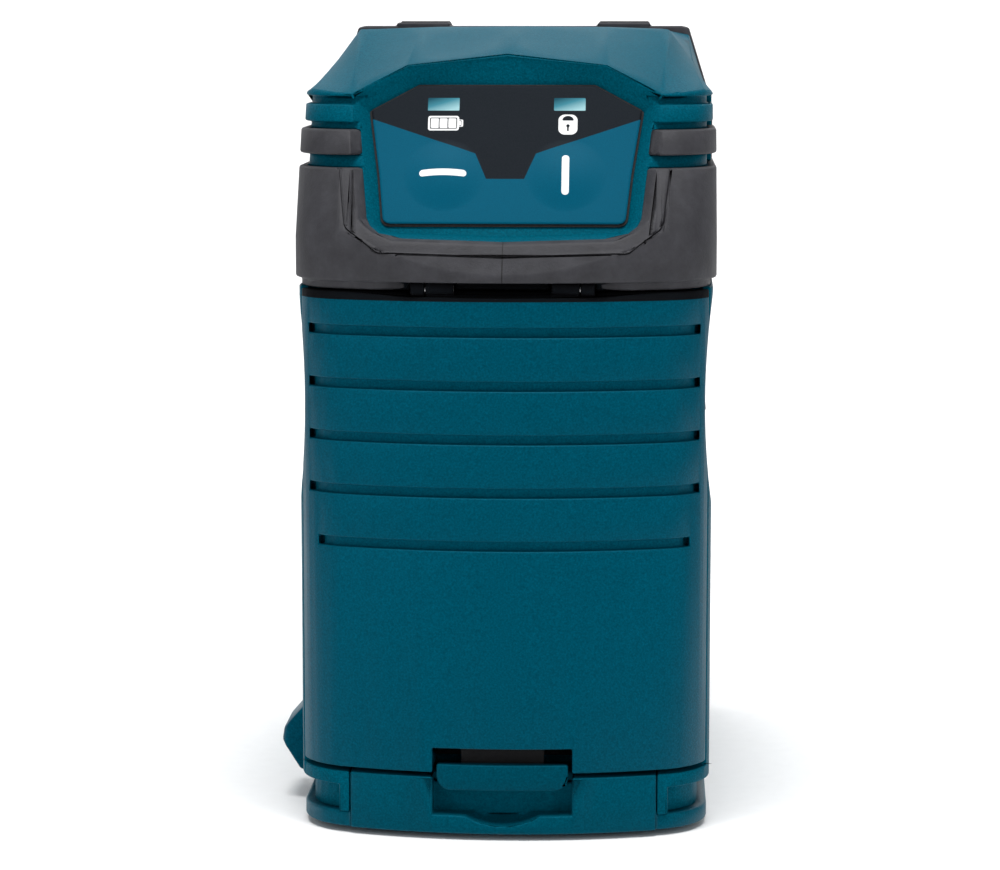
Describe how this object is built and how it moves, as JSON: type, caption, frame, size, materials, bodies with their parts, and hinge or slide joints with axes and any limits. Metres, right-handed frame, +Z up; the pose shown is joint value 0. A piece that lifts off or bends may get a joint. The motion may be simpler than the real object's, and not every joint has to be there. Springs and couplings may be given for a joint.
{
  "type": "cross-line laser level",
  "caption": "Self-levelling cross-line laser level with a leaning two-key panel, hinged battery door, lock slider and a gimbal pendulum that carries the lasers.",
  "frame": {"origin": "mouth of the tripod thread, in the plane that the feet stand on", "axes": "+Z up, -Y is the rear with the control panel and battery door, +Y is the front with the laser window, +X completes the frame"},
  "size_m": [0.066, 0.1025, 0.1176],
  "materials": {
    "casing_teal": "satin moulded ABS with a fine speckle",
    "door_teal": "satin moulded ABS with a fine speckle",
    "rubber_black": "fine matte grain",
    "base_teal": "satin",
    "keypad_film": "fine matte printed film",
    "lens_clear": "frosted clear",
    "window_glass": "clear",
    "gasket_black": "matte",
    "latch_teal": "satin",
    "slider_teal": "satin",
    "steel": "bright",
    "brass": "machined",
    "copper": "machined copper",
    "nickel": "plated",
    "zinc_casting": "as cast",
    "board_green": "solder mask",
    "chip_black": "moulded",
    "cell_wrap": "printed sleeve",
    "inner_black": "moulded",
    "lens_glass": "polished"
  },
  "bodies": {
    "casing": {"rear_casing": "casing_teal", "front_casing": "casing_teal", "base_plate": "base_teal", "base_feet": "gasket_black", "tripod_insert": "brass", "base_screws": "steel", "casing_screws": "steel", "rear_belt": "rubber_black", "left_grip_rib": "rubber_black", "right_grip_rib": "rubber_black", "front_bumper": "rubber_black", "laser_window": "window_glass", "window_gasket": "gasket_black", "keypad_overlay": "keypad_film", "battery_light_lens": "lens_clear", "lock_light_lens": "lens_clear", "panel_leds": "lens_clear", "tact_switches": "chip_black", "panel_board": "board_green", "panel_board_screws": "steel", "main_board": "board_green", "board_parts": "chip_black", "main_board_screws": "steel", "door_seal": "gasket_black", "hinge_pins": "steel", "contact_springs": "nickel", "contact_plates": "nickel", "battery_cell_1": "cell_wrap", "battery_cell_2": "cell_wrap", "battery_cell_3": "cell_wrap", "power_switch": "chip_black", "gimbal_carrier": "zinc_casting", "carrier_screws": "steel", "carrier_bearings": "steel", "damper_magnets": "nickel"},
    "door": {"battery_door": "door_teal", "latch_spring": "steel"},
    "latch": {"door_latch": "latch_teal", "latch_stem": "inner_black"},
    "horizontal_button": {"horizontal_line_button": "keypad_film"},
    "vertical_button": {"vertical_line_button": "keypad_film"},
    "slider": {"lock_slider": "slider_teal"},
    "plunger": {"lock_plunger": "inner_black"},
    "gimbal": {"gimbal_ring": "zinc_casting", "ring_bearings": "steel"},
    "swing": {"pendulum": "zinc_casting", "horizontal_laser": "brass", "vertical_laser": "brass", "horizontal_line_lens": "lens_glass", "vertical_line_lens": "lens_glass", "balance_screws": "brass", "damper_plate": "copper"}
  },
  "joints": [
    {"name": "door_hinge", "type": "hinge", "parent": "casing", "child": "door", "pos_m": [0, -0.0478, 0.08], "axis": [-1, 0, 0], "range_deg": [0, 45]},
    {"name": "latch_slide", "type": "slide", "parent": "door", "child": "latch", "axis": [0, 0, 1], "range_m": [0, 0.0019], "stiffness_N_per_m": 200, "springref_m": -0.001},
    {"name": "horizontal_button_press", "type": "slide", "parent": "casing", "child": "horizontal_button", "axis": [0, 0.8572, -0.515], "range_m": [0, 0.0005], "stiffness_N_per_m": 2000, "springref_m": -0.0002},
    {"name": "vertical_button_press", "type": "slide", "parent": "casing", "child": "vertical_button", "axis": [0, 0.8572, -0.515], "range_m": [0, 0.0005], "stiffness_N_per_m": 2000, "springref_m": -0.0002},
    {"name": "lock_slide", "type": "slide", "parent": "casing", "child": "slider", "axis": [0, 1, 0], "range_m": [0, 0.008]},
    {"name": "plunger_lift", "type": "slide", "parent": "casing", "child": "plunger", "axis": [0, 0, 1], "range_m": [0, 0.0032]},
    {"name": "gimbal_pitch", "type": "hinge", "parent": "casing", "child": "gimbal", "pos_m": [0, 0.0114, 0.096], "axis": [1, 0, 0], "range_deg": [-4, 4]},
    {"name": "gimbal_roll", "type": "hinge", "parent": "gimbal", "child": "swing", "pos_m": [0, 0.0114, 0.096], "axis": [0, 1, 0], "range_deg": [-4, 4]}
  ],
  "couplings": [
    {"joint": "plunger_lift", "follows": "lock_slide", "ratio": 0.4}
  ]
}
